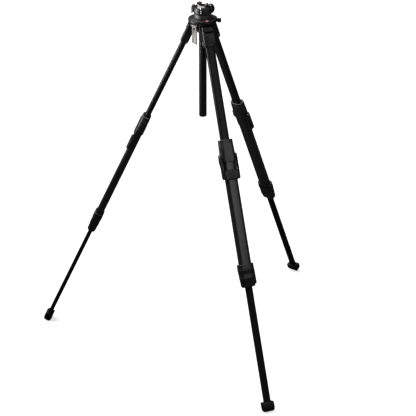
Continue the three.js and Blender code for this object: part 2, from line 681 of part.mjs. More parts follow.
// A band round the back of the drum with three upright finger grips.
function gripGeometry() {
  const { inner, outer, bottom, top, from, to } = GRIP;
  const start = THREE.MathUtils.degToRad(from);
  const end = THREE.MathUtils.degToRad(to);
  const band = new THREE.Shape();
  band.absarc(0, 0, outer, start, end);
  band.absarc(0, 0, inner, end, start, true);
  const body = join(upright(band, bottom, top, 12), ...LOBES.map(lobeGeometry));
  const drumRoom = rodUp(inner, bottom - 2 * PAST, LOBE_CAP.bottom, 0, 0, 32);
  const jawRoom = rodUp(LOBE_CAP.inner, LOBE_CAP.bottom - 1, top + 4 * PAST, 0, 0, 32);
  return cut(body, drumRoom, jawRoom);
}

function jawGeometry({ outline, height }) {
  const bottom = DRUM.top + GAP;
  const shape = new THREE.Shape(outline.map(([x, y]) => new THREE.Vector2(x, y)));
  const options = {
    depth: height - 2 * JAW_BEVEL.height,
    bevelEnabled: true,
    bevelThickness: JAW_BEVEL.height,
    bevelSize: JAW_BEVEL.inset,
    bevelOffset: -JAW_BEVEL.inset,
    bevelSegments: 1,
    curveSegments: 4,
  };
  return new THREE.ExtrudeGeometry(shape, options).translate(0, 0, bottom + JAW_BEVEL.height);
}

function buildHead() {
  const head = new THREE.Group();
  head.rotation.z = HEAD_TURN;
  const { radius, bottom, top, side, out } = CATCH;
  const pieces = [
    ['head_neck', neckGeometry(), MATERIALS.silver],
    ['head_drum', drumGeometry(), MATERIALS.casting],
    ['grip_ring', gripGeometry(), MATERIALS.rubber],
    ['fixed_jaw', jawGeometry(FIXED_JAW), MATERIALS.silver],
    ['moving_jaw', jawGeometry(MOVING_JAW), MATERIALS.silver],
    ['plate_stop', jawGeometry(PLATE_STOP), MATERIALS.silver],
    ['release_catch', rodUp(radius, bottom, top, side, -out, 12), MATERIALS.steel],
  ];
  for (const [name, geometry, material] of pieces) {
    add(head, name, geometry, material);
  }
  return head;
}

// ---------------------------------------------------------------- the whole tripod

const tripod = new THREE.Group();
tripod.add(buildCentre(), buildHead(), ...LEGS.map(buildLeg));

const group = new THREE.Group();
group.add(tripod);
group.updateMatrixWorld(true);
const box = new THREE.Box3().setFromObject(group, true);
const middle = box.getCenter(new THREE.Vector3());
tripod.position.set(-middle.x, -middle.y, -box.min.z);

export default group;
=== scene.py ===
"""Looks of a three-leg camera tripod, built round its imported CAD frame.

Each leg is modelled in its own frame: x points away from the column, y across the leg, z up the
leg, and the origin is where the leg's axis meets the column's. The centre is modelled on the
column's axis.
Shapes are drawn in millimetres.
"""

import json
from math import acos, atan2, cos, hypot, pi, radians, sin

import bmesh
import bpy
import numpy as np
from mathutils import Matrix, Vector


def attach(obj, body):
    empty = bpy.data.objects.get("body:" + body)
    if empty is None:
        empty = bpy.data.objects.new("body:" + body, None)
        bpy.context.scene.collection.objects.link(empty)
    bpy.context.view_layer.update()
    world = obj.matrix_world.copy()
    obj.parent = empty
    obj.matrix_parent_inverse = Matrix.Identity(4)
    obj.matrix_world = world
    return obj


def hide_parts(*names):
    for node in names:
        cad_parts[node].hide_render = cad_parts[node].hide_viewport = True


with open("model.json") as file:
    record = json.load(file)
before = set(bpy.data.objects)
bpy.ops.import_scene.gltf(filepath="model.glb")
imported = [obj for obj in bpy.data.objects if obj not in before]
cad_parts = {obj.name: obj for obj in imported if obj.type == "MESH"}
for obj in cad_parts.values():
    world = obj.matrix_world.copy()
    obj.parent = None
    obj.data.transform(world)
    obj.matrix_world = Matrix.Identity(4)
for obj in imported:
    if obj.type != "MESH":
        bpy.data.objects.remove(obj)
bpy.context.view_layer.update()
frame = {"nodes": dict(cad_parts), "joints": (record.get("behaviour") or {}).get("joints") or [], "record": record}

MM = 0.001
JOINTS = {joint["name"]: joint for joint in frame["joints"]}

# Sizes that more than one function needs, in millimetres.
CORNER = 0.42  # a tube's corner radius as a part of its depth
COLLAR_CORNER = 0.44  # the same for the collars
HINGE_BORE = 4.3  # radius
RIVET_OUT = 6  # from the leg's axis to the lever's rivet
COVER_HEIGHT = 0.9  # how far the pad stands above the head's drum
FAR = 40  # clear of the piece on both sides, for a cut that goes through
AXIS_RADIUS = 0.02  # of the ring that closes a turned shape on its axis
SHARP_ANGLE = radians(36)  # edges sharper than this are drawn sharp

# The grip's bulges: angle round the head, distance out, radius, bottom and top.
LOBES = ((-3, 26.8, 18.0, 1361, 1398.5), (106, 35.5, 8.6, 1363, 1386), (168, 34.5, 9.0, 1363, 1394))
GRIP_SCREWS = (((30.0, -12.8, 1395.0), 2.4), ((-35.5, 3.0, 1391.8), 1.8))  # place and radius

# Looks.
GLOSS = 0.28  # specular level of a surface that names none of its own
NOISE_ROUGHNESS = 0.55
WORN_TINT = 4.0  # how much paler a coat is where it has worn thin
SCRATCHES = 420.0  # scale of the lines in bright metal
FLAT = 0.12  # how far a vertex stands out before its edge counts as worn
EDGE_GAIN = 4.0  # how fast the wear then grows
FILL_LIGHT = 0.022  # the even light from all round
FLOOR_GLOW = (0.57, 0.57, 0.57, 1.0)  # keeps the shadows on the floor faint

# ---------- frames

AXIS = Vector(JOINTS["head_pan"]["pos_m"])  # the foot of the column's axis, at floor height
AXIS.z = 0.0
AXIS_MATRIX = Matrix.Translation(AXIS)
AXIS_INVERSE = AXIS_MATRIX.inverted()
HEAD_TURN = radians(-22)
HEAD_MATRIX = AXIS_MATRIX @ Matrix.Rotation(HEAD_TURN, 4, "Z")
HEAD_INVERSE = HEAD_MATRIX.inverted()

# ---------- camera

CAMERA_TURN = radians(-22.07)  # round the column, from straight in front of the front leg
CAMERA_DISTANCE = 5.589  # from the column, on the floor plan
CAMERA_HEIGHT = 3.328
CAMERA_TILT = radians(26.40)
CAMERA_PAN = radians(-0.20)
CAMERA_LENS = 137.1  # mm
CAMERA_SENSOR = 36.0  # mm
CAMERA_FRAME = Matrix.Rotation(CAMERA_TURN, 3, "Z")


def add_object(name, data):
    made = bpy.data.objects.new(name, data)
    bpy.context.scene.collection.objects.link(made)
    return made


def place_camera():
    data = bpy.data.cameras.new("photo_camera")
    data.lens = CAMERA_LENS
    data.sensor_width = CAMERA_SENSOR
    camera = add_object("photo_camera", data)
    towards = CAMERA_FRAME @ Vector((0.0, -CAMERA_DISTANCE, 0.0))
    camera.location = AXIS + towards + Vector((0.0, 0.0, CAMERA_HEIGHT))
    camera.rotation_euler = (pi / 2 - CAMERA_TILT, 0.0, CAMERA_TURN + CAMERA_PAN)
    bpy.context.scene.camera = camera


# ---------- materials


class Shader:
    """A Principled material with a few helpers for its procedural detail."""

    def __init__(self, name, metallic, constants=()):
        self.material = bpy.data.materials.new(name)
        self.material.use_nodes = True
        self.tree = self.material.node_tree
        self.bsdf = self.tree.nodes["Principled BSDF"]
        self.bsdf.inputs["Metallic"].default_value = metallic
        self.bsdf.inputs["Specular IOR Level"].default_value = GLOSS
        for socket, value in constants:
            self.bsdf.inputs[socket].default_value = value
        self.coordinates = self.node("TexCoord").outputs["Object"]

    def link(self, start, end):
        self.tree.links.new(start, end)

    def node(self, kind, **inputs):
        """Adds a node and sets its inputs. An underscore stands for the space in a name."""
        made = self.tree.nodes.new(f"ShaderNode{kind}")
        for name, value in inputs.items():
            made.inputs[name.replace("_", " ")].default_value = value
        return made

    def noise(self, scale, detail, stretch=(1, 1, 1)):
        mapping = self.node("Mapping", Scale=stretch)
        self.link(self.coordinates, mapping.inputs["Vector"])
        node = self.node("TexNoise", Scale=scale, Detail=detail, Roughness=NOISE_ROUGHNESS)
        self.link(mapping.outputs["Vector"], node.inputs["Vector"])
        return node.outputs["Fac"]

    def remap(self, value, low, high, start=0.3, end=0.7):
        node = self.node("MapRange", From_Min=start, From_Max=end, To_Min=low, To_Max=high)
        self.link(value, node.inputs["Value"])
        return node.outputs["Result"]

    def blend(self, factor, dark, light):
        """Mixes two colours, each given as numbers or as another node's output."""
        node = self.node("Mix")
        node.data_type = "RGBA"
        for socket, color in (("A", dark), ("B", light)):
            target = [i for i in node.inputs if i.name == socket and i.type == "RGBA"][0]
            if isinstance(color, tuple):
                target.default_value = (*color, 1.0)
            else:
                self.link(color, target)
        self.link(factor, node.inputs[0])
        return [o for o in node.outputs if o.type == "RGBA"][0]

    def edges(self, strength):
        """How worn a spot is: high on outer edges, broken up by noise."""
        node = self.node("Attribute")
        node.attribute_name = "edge"
        product = self.node("Math")
        product.operation = "MULTIPLY"
        product.use_clamp = True
        self.link(node.outputs["Fac"], product.inputs[0])
        patches = self.remap(self.noise(900.0, 4.0), 0.0, strength, 0.35, 0.65)
        self.link(patches, product.inputs[1])
        return product.outputs["Value"]

    def bump(self, height, distance, strength):
        node = self.node("Bump", Strength=strength, Distance=distance)
        self.link(height, node.inputs["Height"])
        self.link(node.outputs["Normal"], self.bsdf.inputs["Normal"])

    def color(self, value):
        self.link(value, self.bsdf.inputs["Base Color"])

    def roughness(self, value):
        self.link(value, self.bsdf.inputs["Roughness"])


def anodised_tube(name, dark, light, roughness, gloss):
    """A dyed aluminium tube with fine lines along z."""
    shader = Shader(name, 0.1, (("Specular IOR Level", gloss),))
    cloud = shader.noise(9.0, 4.0)
    base = shader.blend(shader.remap(cloud, 0.0, 1.0), dark, light)
    shader.color(shader.blend(shader.edges(0.5), base, (0.10, 0.10, 0.10)))
    draw_lines = shader.noise(700.0, 2.0, stretch=(1.0, 1.0, 0.012))
    shader.roughness(shader.remap(draw_lines, roughness, roughness + 0.1))
    shader.bump(draw_lines, 0.00002, 0.5)
    return shader.material


def powder_coat(
    name, dark, light, roughness, grain=1800.0, depth=0.00006, metallic=0.0, worn=0.6
):
    """Fine-grained paint on a casting, thin on its edges."""
    shader = Shader(name, metallic)
    base = shader.blend(shader.remap(shader.noise(30.0, 5.0), 0.0, 1.0), dark, light)
    tip = tuple(min(1.0, channel * WORN_TINT) for channel in light)
    shader.color(shader.blend(shader.edges(worn), base, tip))
    speckle = shader.noise(grain, 3.0)
    shader.roughness(shader.remap(speckle, roughness - 0.06, roughness + 0.08))
    shader.bump(speckle, depth, 0.7)
    return shader.material


def bright_metal(name, dark, light, roughness, metallic=1.0):
    """Plated or bare metal with fine scratches."""
    shader = Shader(name, metallic)
    smear = shader.noise(60.0, 4.0)
    shader.color(shader.blend(shader.remap(smear, 0.0, 1.0), dark, light))
    lines = shader.noise(SCRATCHES, 3.0, stretch=(1.0, 0.08, 1.0))
    shader.roughness(shader.remap(lines, roughness - 0.07, roughness + 0.1))
    shader.bump(lines, 0.00001, 0.4)
    return shader.material


def vial_liquid():
    shader = Shader("vial_liquid", 0.0, (("Coat Weight", 1.0), ("Coat Roughness", 0.04)))
    swirl = shader.remap(shader.noise(150.0, 2.0), 0.0, 1.0)
    shader.color(shader.blend(swirl, (0.86, 0.88, 0.82), (0.93, 0.95, 0.89)))
    shader.bsdf.inputs["Roughness"].default_value = 0.12
    return shader.material


MATERIALS = {
    "upper_tube": anodised_tube(
        "upper_anodising", (0.0065, 0.0062, 0.0058), (0.010, 0.0096, 0.0091), 0.4, 0.15
    ),
    "middle_tube": anodised_tube(
        "middle_anodising", (0.010, 0.0094, 0.0086), (0.015, 0.0141, 0.013), 0.34, 0.42
    ),
    # The lower tube's colour is painted darker than the other tubes': painted shade for the light that falls off
    # down the legs.
    "lower_tube": anodised_tube(
        "lower_anodising", (0.0025, 0.0024, 0.0023), (0.0045, 0.0043, 0.0041), 0.42, 0.06
    ),
    "column": anodised_tube(
        "column_anodising", (0.0065, 0.0062, 0.0058), (0.010, 0.0096, 0.0091), 0.34, 0.28
    ),
    "casting": powder_coat("casting_paint", (0.012, 0.0122, 0.0130), (0.018, 0.0183, 0.0198), 0.42),
    "collar": powder_coat(
        "collar_paint", (0.021, 0.0213, 0.0224), (0.030, 0.0304, 0.0322), 0.38, worn=0.8
    ),
    "disc": powder_coat(
        "disc_paint", (0.058, 0.0585, 0.0597), (0.078, 0.0787, 0.0805), 0.36, worn=0.7
    ),
    "head": powder_coat(
        "head_paint", (0.05, 0.0497, 0.0515), (0.066, 0.0657, 0.068), 0.46,
        1400.0, 0.00003, metallic=0.7,
    ),
    "moulding": powder_coat(
        "grey_moulding", (0.014, 0.0143, 0.0152), (0.021, 0.0213, 0.0230), 0.44,
        2600.0, 0.00005, worn=0.7,
    ),
    "grip": powder_coat(
        "grip_rubber", (0.007, 0.007, 0.0075), (0.011, 0.011, 0.0118), 0.36,
        1500.0, 0.00004, worn=0.8,
    ),
    "rubber": powder_coat(
        "black_rubber", (0.0022, 0.0022, 0.0022), (0.0042, 0.0042, 0.0042), 0.6,
        1200.0, 0.00008, worn=0.3,
    ),
    "pale": powder_coat(
        "pale_lever_coat", (0.26, 0.243, 0.23), (0.31, 0.292, 0.275), 0.5,
        1500.0, 0.00003, worn=0.2,
    ),
    "red": powder_coat(
        "red_plastic", (0.58, 0.012, 0.04), (0.66, 0.02, 0.055), 0.25, 900.0, 0.00001
    ),
    "steel": bright_metal("plated_steel", (0.55, 0.54, 0.52), (0.72, 0.71, 0.69), 0.24),
    "silver": bright_metal(
        "silver_metal", (0.48, 0.46, 0.44), (0.60, 0.578, 0.555), 0.4, metallic=0.3
    ),
    "neck": bright_metal(
        "neck_metal", (0.10, 0.098, 0.093), (0.15, 0.147, 0.141), 0.48, metallic=0.5
    ),
    "vial": vial_liquid(),
}

# ---------- mesh building


def section(depth, width, radius, arc=9):
    """A rectangle with round corners, anticlockwise from the middle of its outer side."""
    points = []
    corners = ((1, 1, 0), (-1, 1, 90), (-1, -1, 180), (1, -1, 270))
    for side_x, side_y, first in corners:
        for step in range(arc):
            angle = radians(first + 90 * step / (arc - 1))
            x = side_x * (depth / 2 - radius) + radius * cos(angle)
            y = side_y * (width / 2 - radius) + radius * sin(angle)
            points.append((x, y))
    return points


def level_ring(outline, z):
    return [(x, y, z) for x, y in outline]


def circle(radius, count):
    angles = [2 * pi * i / count for i in range(count)]
    return [(radius * cos(a), radius * sin(a)) for a in angles]


def mesh_object(name, vertices, faces):
    mesh = bpy.data.meshes.new(name)
    mesh.from_pydata([Vector(v) * MM for v in vertices], [], faces)
    mesh.update()
    return add_object(name, mesh)


def turn_outwards(made):
    """Makes a closed mesh's faces point out, as the cutting and joining need."""
    mesh = bmesh.new()
    mesh.from_mesh(made.data)
    if mesh.calc_volume(signed=True) < 0:
        bmesh.ops.reverse_faces(mesh, faces=mesh.faces)
        mesh.to_mesh(made.data)
    mesh.free()
    return made


def skin(name, rings, loop=False):
    """Joins rings of equal length, closed on themselves as a loop or capped at both ends."""
    count = len(rings[0])
    vertices = [point for ring in rings for point in ring]
    faces = []
    spans = len(rings) if loop else len(rings) - 1
    for i in range(spans):
        low = i * count
        high = ((i + 1) % len(rings)) * count
        for j in range(count):
            after = (j + 1) % count
            faces.append((low + j, low + after, high + after, high + j))
    if not loop:
        faces.append(tuple(reversed(range(count))))
        top = (len(rings) - 1) * count
        faces.append(tuple(range(top, top + count)))
    return turn_outwards(mesh_object(name, vertices, faces))


def turned(name, profile, count, loop=False):
    """Turns (radius, z) points about the z axis. The profile goes up its outer side."""
    rings = [level_ring(circle(max(radius, AXIS_RADIUS), count), z) for radius, z in profile]
    return skin(name, rings, loop)


def prism(name, outline, low, high, axis="z"):
    """Extrudes along z an outline of (x, y) points, along x of (y, z), along y of (z, x)."""
    place = {
        "z": lambda a, b, c: (a, b, c),
        "x": lambda a, b, c: (c, a, b),
        "y": lambda a, b, c: (b, c, a),
    }[axis]
    rings = [[place(a, b, c) for a, b in outline] for c in (low, high)]
    return skin(name, rings)


def cross_prism(name, outline, low, high):
    """Extrudes an outline of (x, z) points along y."""
    return prism(name, [(z, x) for x, z in outline], low, high, "y")


def side_prism(name, outline, width):
    return cross_prism(name, outline, -width / 2, width / 2)


def rod(name, radius, low, high, axis, at=(0, 0, 0), count=48):
    return moved(prism(name, circle(radius, count), low, high, axis), at)


def block(name, low, high):
    (x0, y0, z0), (x1, y1, z1) = low, high
    return prism(name, [(x0, y0), (x1, y0), (x1, y1), (x0, y1)], z0, z1)


def moved(made, at, axis="Z", degrees=0.0):
    """Turns a mesh about an axis, then moves it, in degrees and millimetres."""
    made.data.transform(Matrix.Rotation(radians(degrees), 4, axis))
    made.data.transform(Matrix.Translation(Vector(at) * MM))
    return made


def turned_about(made, angle):
    """Turns a mesh about the z axis by an angle in radians."""
    made.data.transform(Matrix.Rotation(angle, 4, "Z"))
    return made


def arc_points(cx, cz, radius, start, end, steps):
    """Points along an arc, between two angles in degrees."""
    angles = [radians(start + (end - start) * i / steps) for i in range(steps + 1)]
    return [(cx + radius * cos(a), cz + radius * sin(a)) for a in angles]


def bake(made):
    """Applies the object's modifiers."""
    bpy.context.view_layer.update()
    evaluated = made.evaluated_get(bpy.context.evaluated_depsgraph_get())
    mesh = bpy.data.meshes.new_from_object(evaluated)
    made.modifiers.clear()
    made.data = mesh
    return made


def boolean(made, others, operation):
    for other in others:
        modifier = made.modifiers.new("boolean", "BOOLEAN")
        modifier.operation = operation
        modifier.solver = "EXACT"
        modifier.object = other
        bake(made)
        bpy.data.objects.remove(other)
    return made


def carve(made, *others):
    return boolean(made, others, "DIFFERENCE")


def fuse(made, *others):
    return boolean(made, others, "UNION")


def keep_inside(made, other):
    return boolean(made, [other], "INTERSECT")


def soften(made, width, segments=2, angle=32):
    """Rounds every sharp edge by a width in millimetres."""
    modifier = made.modifiers.new("bevel", "BEVEL")
    modifier.width = width * MM
    modifier.segments = segments
    modifier.limit_method = "ANGLE"
    modifier.angle_limit = radians(angle)
    modifier.use_clamp_overlap = True
    return bake(made)


def mark_edges(mesh):
    """Stores how far each vertex stands out from its neighbours, for wear on the edges."""
    count = len(mesh.vertices)
    points = np.zeros((count, 3))
    mesh.vertices.foreach_get("co", points.ravel())
    normals = np.zeros((count, 3))
    mesh.vertex_normals.foreach_get("vector", normals.ravel())
    pairs = np.zeros((len(mesh.edges), 2), dtype=np.int64)
    mesh.edges.foreach_get("vertices", pairs.ravel())
    total = np.zeros(count)
    number = np.zeros(count)
    for a, b in (pairs.T, pairs.T[::-1]):
        away = points[b] - points[a]
        length = np.linalg.norm(away, axis=1) + 1e-9
        fall = -(normals[a] * away).sum(axis=1) / length
        np.add.at(total, a, fall)
        np.add.at(number, a, 1)
    edge = np.clip((total / np.maximum(number, 1) - FLAT) * EDGE_GAIN, 0.0, 1.0)
    attribute = mesh.attributes.new("edge", "FLOAT", "POINT")
    attribute.data.foreach_set("value", edge.astype(np.float32))


def finish_piece(made, body, material, matrix, nodes=()):
    """Smooths a piece, gives it its material, sets it in place and hands it to its body."""
    mesh = made.data
    mesh.polygons.foreach_set("use_smooth", [True] * len(mesh.polygons))
    mesh.set_sharp_from_angle(angle=SHARP_ANGLE)
    mark_edges(mesh)
    mesh.materials.clear()
    mesh.materials.append(MATERIALS[material])
    if material == "column":  # its pattern starts at its own origin
        made.matrix_world = matrix
    else:
        mesh.transform(matrix)
    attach(made, body)
    if nodes:
        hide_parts(*nodes)


def hand_in(made, node, body, material, matrix=AXIS_MATRIX):
    """Hands in the piece that stands in for a CAD node."""
    made.name = f"{node}_skin"
    made.data.name = made.name
    finish_piece(made, body, material, matrix, (node,))


def hand_in_detail(made, name, body, material, matrix):
    """Hands in a small piece that no CAD node stands for."""
    made.name = name
    finish_piece(made, body, material, matrix)


# ---------- legs


class Span:
    """A CAD node's box in a given frame, in millimetres."""

    def __init__(self, node, inverse=AXIS_INVERSE):
        points = np.array([inverse @ v.co for v in frame["nodes"][node].data.vertices]) / MM
        self.low = points.min(axis=0)
        self.high = points.max(axis=0)
        self.depth, self.width, self.length = self.high - self.low
        self.bottom = self.low[2]
        self.top = self.high[2]
        self.middle = (self.bottom + self.top) / 2

    def oval(self, corner=CORNER):
        """Depth, width and corner radius of a tube or collar that fills the box."""
        return self.depth, self.width, self.depth * corner


class Leg:
    def __init__(self, name):
        self.name = name
        hinge = JOINTS[f"{name}_leg_spread"]
        up = Vector(JOINTS[f"{name}_upper_slide"]["axis"]).normalized()
        across = -Vector(hinge["axis"]).normalized()
        out = across.cross(up)
        place = Vector(hinge["pos_m"])
        radial = (Vector((place.x, place.y, 0.0)) - AXIS).length
        to_hinge = radial / sin(acos(up.z))
        turn = Matrix((out, across, up)).transposed().to_4x4()
        self.matrix = Matrix.Translation(place + up * to_hinge) @ turn
        self.inverse = self.matrix.inverted()
        self.hinge = -to_hinge / MM
        self.selector_travel = JOINTS[f"{name}_selector_slide"]["range_m"][1] / MM

    def span(self, piece):
        return Span(f"{self.name}_{piece}", self.inverse)

    def pivot(self, joint):
        """A joint's place in the leg's frame, in millimetres."""
        return (self.inverse @ Vector(JOINTS[f"{self.name}_{joint}"]["pos_m"])) / MM

    def hand_in(self, made, piece, body, slot, material):
        hand_in(made, f"{self.name}_{piece}", f"{self.name}_{body}", material, self.matrix)

    def hand_in_detail(self, made, name, body, slot, material):
        body = f"{self.name}_{body}"
        hand_in_detail(made, f"{self.name}_{name}", body, material, self.matrix)


def shrunk(depth, width, radius, inset, z):
    """An oval moved in by a distance all round."""
    corner = max(radius - inset, 0.4)
    return level_ring(section(depth - 2 * inset, width - 2 * inset, corner), z)


def shell(name, outline, stations, scale=lambda z: 1, loop=False):
    """Joins ovals at (z, inset) stations, each scaled by its height and then moved in."""
    rings = []
    for z, inset in stations:
        rings.append(shrunk(*(size * scale(z) for size in outline), inset, z))
    return skin(name, rings, loop)


def room_for(span, gap, low, high):
    """A cutter of a tube's outline with a gap round it."""
    return shell("room", span.oval(), ((low, -gap), (high, -gap)))


def build_tube(leg, piece, body, wall):
    span = leg.span(piece)
    low, high = span.bottom, span.top
    edge = 0.4
    stations = [
        (low + edge, 0), (high - edge, 0), (high, edge), (high, wall - edge),
        (high - edge, wall), (low + edge, wall), (low, wall - edge), (low, edge),
    ]
    leg.hand_in(shell("tube", span.oval(), stations, loop=True), piece, body, "tube", piece)


def build_casting(leg):
    span = leg.span("leg_casting")
    tube = leg.span("upper_tube")
    selector = leg.span("angle_selector")
    screw = leg.span("clamp_screw")
    half = span.depth / 2
    face = span.width / 2
    foot = span.bottom
    past = span.top + 10
    corner = 6
    side = [(-half + corner, foot), (half - corner, foot)]
    side += arc_points(half - corner, foot + corner, corner, -90, 0, 8)[1:]
    side += arc_points(0, leg.hinge, half, 0, 180, 28)
    side += arc_points(-half + corner, foot + corner, corner, 180, 270, 8)[:-1]
    body = side_prism("casting", side, span.width + 4)
    outline = section(span.depth + 2, span.width, 8, 12)
    keep_inside(body, prism("rim", outline, foot - 5, span.top + 5))
    slot = 10.3
    wing = selector.width / 2 + 0.35
    pocket = selector.bottom - leg.selector_travel - 1
    cutters = [
        block("slot", (-30, -slot, leg.hinge - 15), (30, slot, past)),
        block("pocket", (8.7, -wing, pocket), (30, wing, past)),
        room_for(tube, 0.25, foot - 10, tube.top + 0.3),
        rod("bore", HINGE_BORE, -FAR, FAR, "y", (0, 0, leg.hinge)),
    ]
    for low, high in ((-FAR, 3.4 - face), (face - 3.4, FAR)):
        cutters.append(rod("seat", 7.8, low, high, "y", (0, 0, leg.hinge)))
    at = (0, 0, screw.middle)
    cutters.append(rod("thread", 3.3, -FAR, 4.2 - face, "y", at))
    boss = rod("boss", 10.2, -face - 1.7, 6 - face, "y", at, 64)
    soften(boss, 0.8, 2)
    fuse(body, boss)
    cutters.append(rod("screw_seat", 7.6, -FAR, -face - 0.15, "y", at))
    cutters.append(rod("arch", 90, -FAR, FAR, "x", (0, 0, foot - 87.5), count=160))
    panel = [(y, z + foot + 29) for y, z in section(34, 25, 5)]
    cutters.append(prism("panel", panel, half - 0.9, half + 5, "x"))
    carve(body, *cutters)
    soften(body, 0.9, 3)
    leg.hand_in(body, "leg_casting", "leg", "casting", "casting")


def build_hinge_bolt(leg):
    span = leg.span("hinge_bolt")
    at = (0, 0, leg.hinge)
    low, high = span.low[1], span.high[1]
    bolt = rod("bolt", 4.0, low + 1, high - 1, "y", at)
    for start, end in ((low, low + 2.6), (high - 2.6, high)):
        fuse(bolt, rod("head", 7.5, start, end, "y", at))
    for start, end in ((high - 1.9, high + 5), (low - 5, low + 1.9)):
        carve(bolt, rod("socket", 3.3, start, end, "y", at, 6))
    soften(bolt, 0.4)
    leg.hand_in(bolt, "hinge_bolt", "leg", "steel", "casting")


def build_selector(leg):
    span = leg.span("angle_selector")
    inner, outer = span.low[0], span.high[0]
    low, high = span.bottom, span.top
    side = [(inner, low), (outer - 1, low), (outer, low + 1), (outer, high - 4)]
    side += arc_points(outer - 4, high - 4, 4, 0, 90, 8)[1:]
    side += [(inner, high)]
    body = side_prism("selector", side, span.width)
    for step in range(3):
        z = leg.hinge + leg.selector_travel * step / 2
        carve(body, rod("lug_room", 14.1, -10.6, 10.6, "y", (0, 0, z), 64))
    for i in range(3):
        z = low + 4 + 3.6 * i
        carve(body, block("rib", (outer - 1.1, -11, z), (outer + 3, 11, z + 1.5)))
    soften(body, 0.7)
    leg.hand_in(body, "angle_selector", "selector", "moulding", "moulding")


def build_clamp_screw(leg):
    span = leg.span("clamp_screw")
    at = (0, 0, span.middle)
    low, high = span.low[1], span.high[1]
    screw = rod("screw", 3.0, low + 1, high, "y", at)
    fuse(screw, rod("head", 7.2, low, low + 3, "y", at))
    carve(screw, rod("socket", 3.4, low - 5, low + 2.1, "y", at, 6))
    soften(screw, 0.6, 3)
    leg.hand_in(screw, "clamp_screw", "leg", "steel", "neck")


def build_highlight_lip(leg, name, material, outline, high, shift):
    """The bright edge round the mouth of a collar: a painted highlight for the top edge catching the light."""
    stations = ((high - 1.6, 1.5), (high - 0.3, 1.3), (high, 1.6), (high, 2.8), (high - 1.6, 2.8))
    lip = shell("lip", outline, stations, loop=True)
    lip.data.transform(shift)
    leg.hand_in_detail(lip, name, "middle", "casting", material)


def build_upper_collar(leg):
    span = leg.span("upper_collar")
    upper = leg.span("upper_tube")
    middle = leg.span("middle_tube")
    pivot = leg.pivot("upper_lever_lift")
    forward = (span.low[0] + span.high[0]) / 2
    shift = Matrix.Translation((forward * MM, 0, 0))
    depth, width, corner = outline = (span.depth, 60.0, span.depth * COLLAR_CORNER)
    high = span.top
    low = high - 85
    taper = 0.08
    stations = [
        (low, 3.4), (low + 0.8, 1.8), (low + 2.6, 0.5), (low + 5, 0.0),
        (pivot.z, 0.0), (high - 42, 0.0),
        (high - 12.4, 0.0), (high - 11.6, 0.7), (high - 10.4, 0.7), (high - 9.6, 0.0),
        (high - 3.4, 0.0), (high - 1.6, 0.4), (high - 0.6, 1.4),
    ]
    rise = high - pivot.z
    body = shell("collar", outline, stations, lambda z: 1 - taper * max(0.0, (z - pivot.z) / rise))
    cheek_stations = ((span.bottom, 2.0), (span.bottom + 3, 0.3), (low + 6, 0.3))
    for side in (-1, 1):
        boss = turned("boss", [(0, 0), (10, 0), (9.2, 30.2), (8.4, 31), (0, 31)], 56)
        fuse(body, moved(boss, (pivot.x - forward, 0, pivot.z), "X", -90 * side))
        cheek = shell("cheek", outline, cheek_stations)
        start, end = sorted((side * 24.4, side * 40))
        keep_inside(cheek, block("cheek_side", (-9, start, low - 90), (4 - forward, end, high)))
        fuse(body, cheek)
    panel = [(y, z + high - 50) for y, z in section(34, 66, 9, 10)]
    plate = prism("panel", panel, depth / 2 - 6, depth / 2 + 2, "x")
    crown = (depth + 1.6, width + 1.6, corner)
    keep_inside(plate, shell("crown", crown, ((low - 20, 0), (high, 0))))
    fuse(body, plate)
    body.data.transform(shift)
    carve(
        body,
        room_for(upper, 0.3, middle.top - 2, high + 5),
        room_for(middle, 0.3, span.bottom - 5, middle.top + 0.4),
        block("short_inside", (-60, -60, low - 60), (-7, 60, pivot.z - 11)),
    )
    for start, end in ((-45, -25.4), (25.4, 45)):
        carve(body, rod("hole", 3.3, start, end, "y", (pivot.x, 0, pivot.z)))
    soften(body, 0.6)
    leg.hand_in(body, "upper_collar", "middle", "casting", "collar")
    mouth = [size * (1 - taper) for size in outline]
    # The upper collar's mouth gets a pale ring: a painted highlight.
    build_highlight_lip(leg, "upper_lip", "pale", mouth, high, shift)


def build_upper_lever(leg):
    span = leg.span("upper_lever")
    pivot = leg.pivot("upper_lever_lift")
    rivet = leg.span("lever_rivet")
    tube = leg.span("middle_tube")
    low = span.bottom
    past = span.top + 5
    bar = pivot.z - 50
    outer = span.high[0]
    reach = 35.0
    inside = reach - 3.5
    corner = 13.0
    side = [(0, low), (outer - 5, low)]
    side += arc_points(outer - 5, low + 6, 5, -70, 0, 8)
    side += arc_points(outer - 6, bar - 5, 6, 0, 80, 10)
    side += [(pivot.x + 11, pivot.z - 10)]
    side += arc_points(pivot.x, pivot.z, 10, 0, 180, 20)
    side += [(-9, pivot.z - 20), (-3, pivot.z - 32), (0, pivot.z - 44)]
    body = side_prism("lever", side, 2 * reach + 2)
    keep_inside(body, prism("rim", section(2 * outer, 2 * reach, 13, 12), low - 5, past))
    front = [(reach, past), (-reach, past)]
    front += arc_points(corner - reach, low + corner, corner, 180, 270, 12)
    front += arc_points(reach - corner, low + corner, corner, 270, 360, 12)
    keep_inside(body, prism("front", front, -FAR, FAR, "x"))
    clear = tube.high[0] + 0.6
    window = [(y, z + bar + 40) for y, z in section(2 * inside, 80, 3, 8)]
    carve(
        body,
        block("inside", (-40, -inside, low - 10), (clear, inside, span.top + 10)),
        prism("window", window, -40, 60, "x"),
        rod("rivet_hole", 2.9, inside - 1, 60, "y", (RIVET_OUT, 0, rivet.middle)),
    )
    slot = [(x + 5.5, z + (bar + pivot.z) / 2 - 3) for x, z in section(7, 22, 3.4)]
    for edge in (-reach - 3, reach - 0.9):
        carve(body, cross_prism("arm_slot", slot, edge, edge + 3.9))
    soften(body, 1.1, 3)
    for i in range(4):
        z = low + 9 + 5.5 * i
        carve(body, rod("grip", 1.1, -17, 17, "y", (outer + 0.5, 0, z), 24))
    for start, end in ((-reach - 0.8, -26), (26, reach + 0.8)):
        fuse(body, rod("axle", 3.0, start, end, "y", (pivot.x, 0, pivot.z)))
    leg.hand_in(body, "upper_lever", "upper_lever", "moulding", "moulding")


